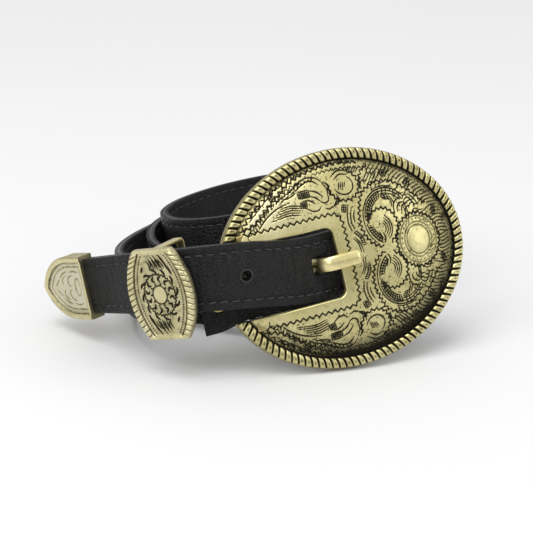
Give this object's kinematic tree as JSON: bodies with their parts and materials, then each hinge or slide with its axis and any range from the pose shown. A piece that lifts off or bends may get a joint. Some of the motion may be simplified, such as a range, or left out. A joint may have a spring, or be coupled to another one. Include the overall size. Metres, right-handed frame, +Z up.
{
  "type": "western belt with domed buckle set",
  "caption": "Coiled black leather belt with a large domed oval buckle, rope rim, swirl engraving, barrel keeper and pointed tip in antique brass.",
  "frame": {"origin": "centre of the bounding box on the floor that the coiled belt stands on", "axes": "+Z up; -Y toward the viewer of the buckle's face; +X from the belt's tip toward the buckle"},
  "size_m": [0.1685, 0.1497, 0.0811],
  "materials": {
    "antique_brass": "antiqued, dark in the recesses",
    "worn_brass": "satin",
    "screw_brass": "satin",
    "bar_steel": "satin",
    "black_leather": "pebbled, semi-matte",
    "black_lining": "matte",
    "filler_board": "matte",
    "thread": "waxed"
  },
  "bodies": {
    "belt": {"buckle_plate": "antique_brass", "buckle_bar": "bar_steel", "strap_face_outer": "black_leather", "strap_face_inner": "black_leather", "strap_face_return": "black_leather", "strap_face_front": "black_leather", "strap_core": "filler_board", "strap_lining": "black_lining", "fold_tab": "black_leather", "screw_posts": "screw_brass", "tip_shell": "antique_brass", "tip_back": "worn_brass", "tip_pins": "bar_steel", "thread_upper": "thread", "thread_lower": "thread"},
    "prong": {"prong": "worn_brass"},
    "keeper": {"keeper_plate": "antique_brass", "keeper_loop": "worn_brass"},
    "upper_cap": {"screw_cap_upper": "screw_brass"},
    "lower_cap": {"screw_cap_lower": "screw_brass"}
  },
  "joints": [
    {"name": "prong_lift", "type": "hinge", "parent": "belt", "child": "prong", "pos_m": [-0.00067, -0.05482, 0.03387], "axis": [0.2523, -0.2597, -0.9321], "range_deg": [0, 3]},
    {"name": "keeper_slide", "type": "slide", "parent": "belt", "child": "keeper", "axis": [-0.8287, 0.4979, -0.2558], "range_m": [0, 0.006]},
    {"name": "upper_cap_turn", "type": "hinge", "parent": "belt", "child": "upper_cap", "pos_m": [-0.01511, -0.05465, 0.03646], "axis": [0, -0.9898, 0.1426], "continuous": true},
    {"name": "lower_cap_turn", "type": "hinge", "parent": "belt", "child": "lower_cap", "pos_m": [-0.0131, -0.05596, 0.02737], "axis": [0, -0.9898, 0.1426], "continuous": true}
  ]
}
